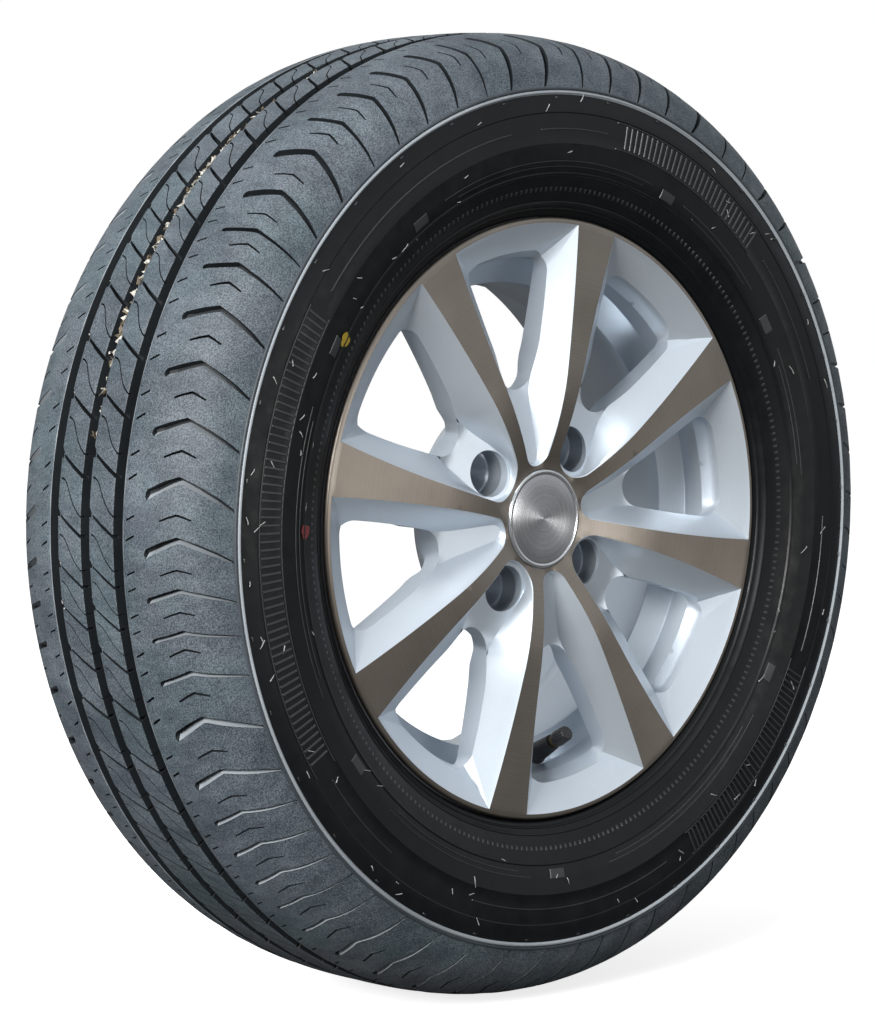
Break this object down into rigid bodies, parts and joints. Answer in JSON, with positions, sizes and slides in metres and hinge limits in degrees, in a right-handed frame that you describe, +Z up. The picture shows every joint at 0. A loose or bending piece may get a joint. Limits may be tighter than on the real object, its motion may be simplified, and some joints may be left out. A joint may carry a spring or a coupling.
{
  "type": "wheel and tyre assembly",
  "caption": "Passenger car wheel and tyre: cast alloy rim with a machined spoke face and bevelled windows, ribbed road tyre, centre cap and snap-in valve, made to bolt to a hub.",
  "frame": {"origin": "middle of the tyre, on the axle's line, halfway between the side walls", "axes": "the axle lies along Y; -Y is the street side with the machined face, +Y is the vehicle side with the mounting face; +Z is up"},
  "size_m": [0.5888, 0.182, 0.5888],
  "materials": {
    "machined_alloy": "silver paint, with the spoke faces and lip turned bright",
    "tyre_rubber": "matt tread, satin side walls",
    "cap_silver": "silver lacquer",
    "cap_brushed": "turned bright",
    "spring_wire": "drawn wire",
    "valve_rubber": "matt",
    "valve_brass": "turned",
    "core_gasket": "smooth",
    "core_steel": "bright",
    "dust_cap_plastic": "moulded, ribbed"
  },
  "bodies": {
    "wheel": {"alloy_rim": "machined_alloy", "tyre": "tyre_rubber", "cap_body": "cap_silver", "cap_disc": "cap_brushed", "cap_ring": "spring_wire", "valve_rubber": "valve_rubber", "valve_stem": "valve_brass", "core_plug": "valve_brass", "core_barrel": "valve_brass", "core_gasket": "core_gasket", "core_spring": "core_steel"},
    "valve_pin": {"core_pin": "core_steel", "core_cup": "valve_brass", "core_seal": "valve_rubber"},
    "dust_cap": {"dust_cap": "dust_cap_plastic", "dust_cap_seal": "valve_rubber"}
  },
  "joints": [
    {"name": "core_pin_press", "type": "slide", "parent": "wheel", "child": "valve_pin", "axis": [0.0826, 0.8796, -0.4684], "range_m": [0, 0.001], "stiffness_N_per_m": 500, "springref_m": -0.001, "deforming": ["core_spring"]},
    {"name": "dust_cap_off", "type": "slide", "parent": "wheel", "child": "dust_cap", "axis": [-0.0826, -0.8796, 0.4684], "range_m": [0, 0.009]}
  ]
}
